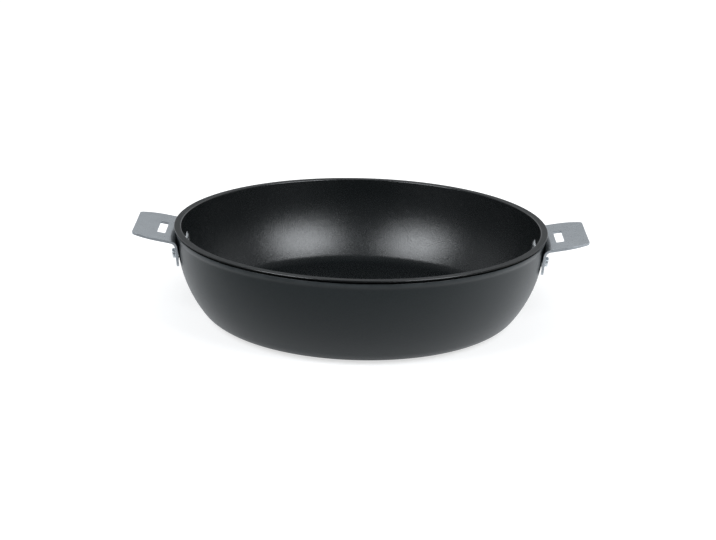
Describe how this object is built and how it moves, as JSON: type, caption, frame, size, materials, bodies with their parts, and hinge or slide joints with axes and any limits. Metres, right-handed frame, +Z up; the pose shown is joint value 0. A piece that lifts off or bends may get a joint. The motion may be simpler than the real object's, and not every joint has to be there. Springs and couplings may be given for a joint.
{
  "type": "saute pan",
  "caption": "Round-sided black saute pan with a thin pouring lip and a slotted steel tab riveted on each side for a clip-on handle.",
  "frame": {"origin": "centre of the base, on the surface that the pan stands on", "axes": "+Z up along the pan's axis, X through the two tabs"},
  "size_m": [0.3408, 0.282, 0.07],
  "materials": {
    "black_coating": "satin black non-stick coating on cast aluminium",
    "base_steel": "turned stainless steel",
    "bracket_steel": "satin stainless sheet",
    "rivet_aluminium": "plain formed heads"
  },
  "bodies": {
    "root": {"pan_body": "black_coating", "base_disc": "base_steel", "left_bracket": "bracket_steel", "right_bracket": "bracket_steel", "left_rivets": "rivet_aluminium", "right_rivets": "rivet_aluminium"}
  },
  "joints": []
}
